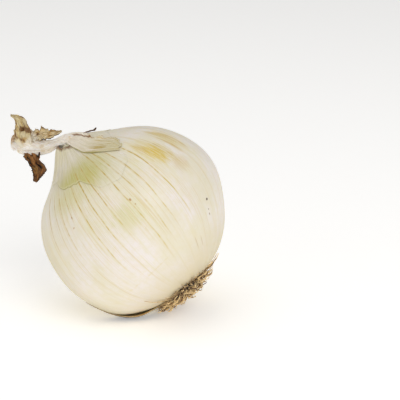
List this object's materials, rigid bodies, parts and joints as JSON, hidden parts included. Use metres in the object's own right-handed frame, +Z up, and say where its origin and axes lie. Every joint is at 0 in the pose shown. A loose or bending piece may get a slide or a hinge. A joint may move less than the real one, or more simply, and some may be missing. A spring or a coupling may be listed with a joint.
{
  "type": "white onion",
  "caption": "Large white onion lying on its side, with a bent dried neck, torn outer skin round its shoulder and a tuft of dry roots.",
  "frame": {"origin": "middle of the small flat spot under the bulb that it rests on", "axes": "+Z up; the dried neck points towards -X and up, the roots towards +X and down, and the torn front of the skin faces -Y"},
  "size_m": [0.1027, 0.0898, 0.0896],
  "materials": {
    "bulb_skin": "smooth, satin",
    "collar_skin": "thin, slightly shiny",
    "tongue_skin": "dry, papery",
    "shred_skin": "dry, papery",
    "base_skin": "dry, papery",
    "neck_skin": "dry, wrinkled, matte",
    "curled_leaf": "dry, papery",
    "side_leaf": "dry, papery",
    "hanging_leaf": "dry, crumpled",
    "root_mat": "dry, fibrous",
    "long_root": "dry, fibrous"
  },
  "bodies": {
    "root": {"bulb": "bulb_skin", "torn_collar": "collar_skin", "sheath_tongue": "tongue_skin", "back_shred": "shred_skin", "base_skin": "base_skin", "dry_neck": "neck_skin", "curled_leaf_tip": "curled_leaf", "side_leaf": "side_leaf", "hanging_leaf": "hanging_leaf", "root_mat": "root_mat", "long_root_01": "long_root", "long_root_02": "long_root", "long_root_03": "long_root", "long_root_04": "long_root", "long_root_05": "long_root", "long_root_06": "long_root", "long_root_07": "long_root", "long_root_08": "long_root", "long_root_09": "long_root", "long_root_10": "long_root", "long_root_11": "long_root", "long_root_12": "long_root"}
  },
  "joints": []
}
